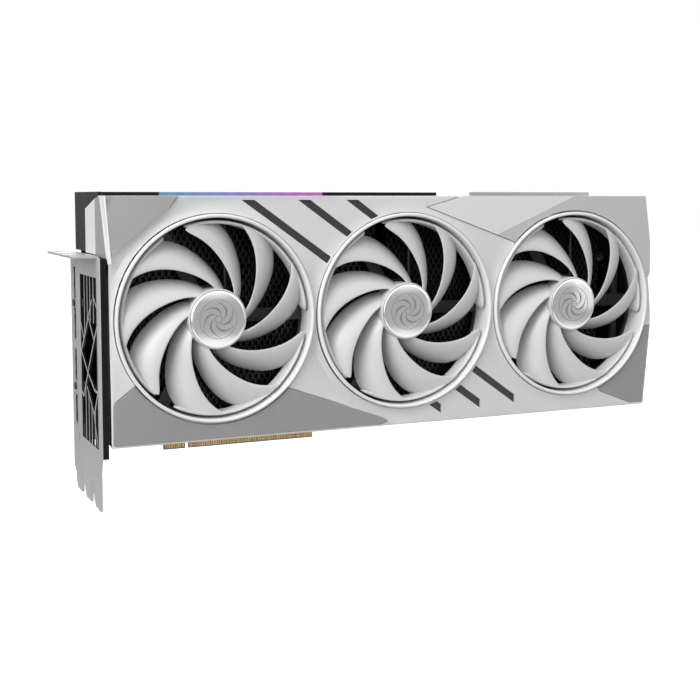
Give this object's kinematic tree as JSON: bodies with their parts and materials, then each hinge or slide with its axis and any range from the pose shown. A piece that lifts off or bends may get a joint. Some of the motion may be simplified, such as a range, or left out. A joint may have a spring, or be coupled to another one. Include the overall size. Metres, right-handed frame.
{
  "type": "graphics card",
  "caption": "Triple-fan graphics card with shroud, finned cooler, circuit board, backplate, slot bracket and edge connector.",
  "frame": {"origin": "middle of the key notch of the edge connector, on the connector's lower edge and the board's mid-plane", "axes": "+X along the card to its far end, +Z to the top edge, fans face -Y"},
  "size_m": [0.3281, 0.0622, 0.1499],
  "materials": {
    "shroud_white": "satin silver-white paint",
    "panel_silver": "satin silver paint",
    "panel_grey": "satin grey paint",
    "ring_white": "bright white gloss",
    "dark_gloss": "smoked gloss",
    "fan_white": "fine satin white",
    "cap_metal": "brushed disc",
    "magnet": "sintered",
    "steel": "satin",
    "bearing_bronze": "sintered",
    "stator_copper": "enamelled wire",
    "frame_grey": "moulded",
    "lead_black": "matte sleeve",
    "plug_white": "moulded",
    "fin_black": "black coated",
    "nickel": "nickel plated",
    "board_black": "solder mask",
    "gold": "gold plated",
    "package_green": "laminate",
    "die_mirror": "polished silicon",
    "chip_black": "moulded epoxy",
    "pad_grey": "soft silicone",
    "can_silver": "can",
    "socket_black": "moulded",
    "frame_black": "moulded",
    "light_lens": "diffusing lens",
    "backplate_silver": "anodised satin",
    "screw_black": "blackened",
    "bracket_steel": "satin nickel",
    "port_steel": "plated shell"
  },
  "bodies": {
    "card": {"shroud": "shroud_white", "trim_panel_top_left": "panel_silver", "trim_panel_top_right": "panel_silver", "trim_panel_bottom_left": "panel_grey", "trim_panel_bottom_right": "panel_grey", "fan_ring_1": "ring_white", "fan_ring_2": "ring_white", "fan_ring_3": "ring_white", "accent_bars_upper": "dark_gloss", "accent_bars_lower": "dark_gloss", "spring_bracket": "steel", "fan_1_bearing": "bearing_bronze", "fan_2_bearing": "bearing_bronze", "fan_3_bearing": "bearing_bronze", "fan_1_stator": "stator_copper", "fan_2_stator": "stator_copper", "fan_3_stator": "stator_copper", "fan_1_frame": "frame_grey", "fan_2_frame": "frame_grey", "fan_3_frame": "frame_grey", "fan_leads": "lead_black", "fan_plugs": "plug_white", "fin_stack_left": "fin_black", "fin_stack_right": "fin_black", "heat_pipes_straight": "nickel", "heat_pipes_bent": "nickel", "cold_plate": "nickel", "circuit_board": "board_black", "light_bar_board": "board_black", "edge_contacts": "gold", "gpu_package": "package_green", "gpu_die": "die_mirror", "memory_chips": "chip_black", "power_stages": "chip_black", "chokes": "chip_black", "thermal_pads": "pad_grey", "capacitors": "can_silver", "power_socket": "socket_black", "mid_frame": "frame_black", "top_housing": "frame_black", "light_bar": "light_lens", "backplate": "backplate_silver", "backplate_screws": "screw_black", "spring_screws": "screw_black", "bracket_screws": "screw_black", "io_bracket": "bracket_steel", "displayport_sockets": "port_steel", "hdmi_socket": "port_steel"},
    "fan_1": {"fan_1_rotor": "fan_white", "fan_1_hub_cap": "cap_metal", "fan_1_magnet_ring": "magnet", "fan_1_shaft": "steel"},
    "fan_2": {"fan_2_rotor": "fan_white", "fan_2_hub_cap": "cap_metal", "fan_2_magnet_ring": "magnet", "fan_2_shaft": "steel"},
    "fan_3": {"fan_3_rotor": "fan_white", "fan_3_hub_cap": "cap_metal", "fan_3_magnet_ring": "magnet", "fan_3_shaft": "steel"}
  },
  "joints": [
    {"name": "fan_1_spin", "type": "hinge", "parent": "card", "child": "fan_1", "pos_m": [-0.0007, -0.0506, 0.0741], "axis": [0, -1, 0], "continuous": true},
    {"name": "fan_2_spin", "type": "hinge", "parent": "card", "child": "fan_2", "pos_m": [0.1017, -0.0506, 0.0741], "axis": [0, -1, 0], "continuous": true},
    {"name": "fan_3_spin", "type": "hinge", "parent": "card", "child": "fan_3", "pos_m": [0.2041, -0.0506, 0.0741], "axis": [0, -1, 0], "continuous": true}
  ]
}
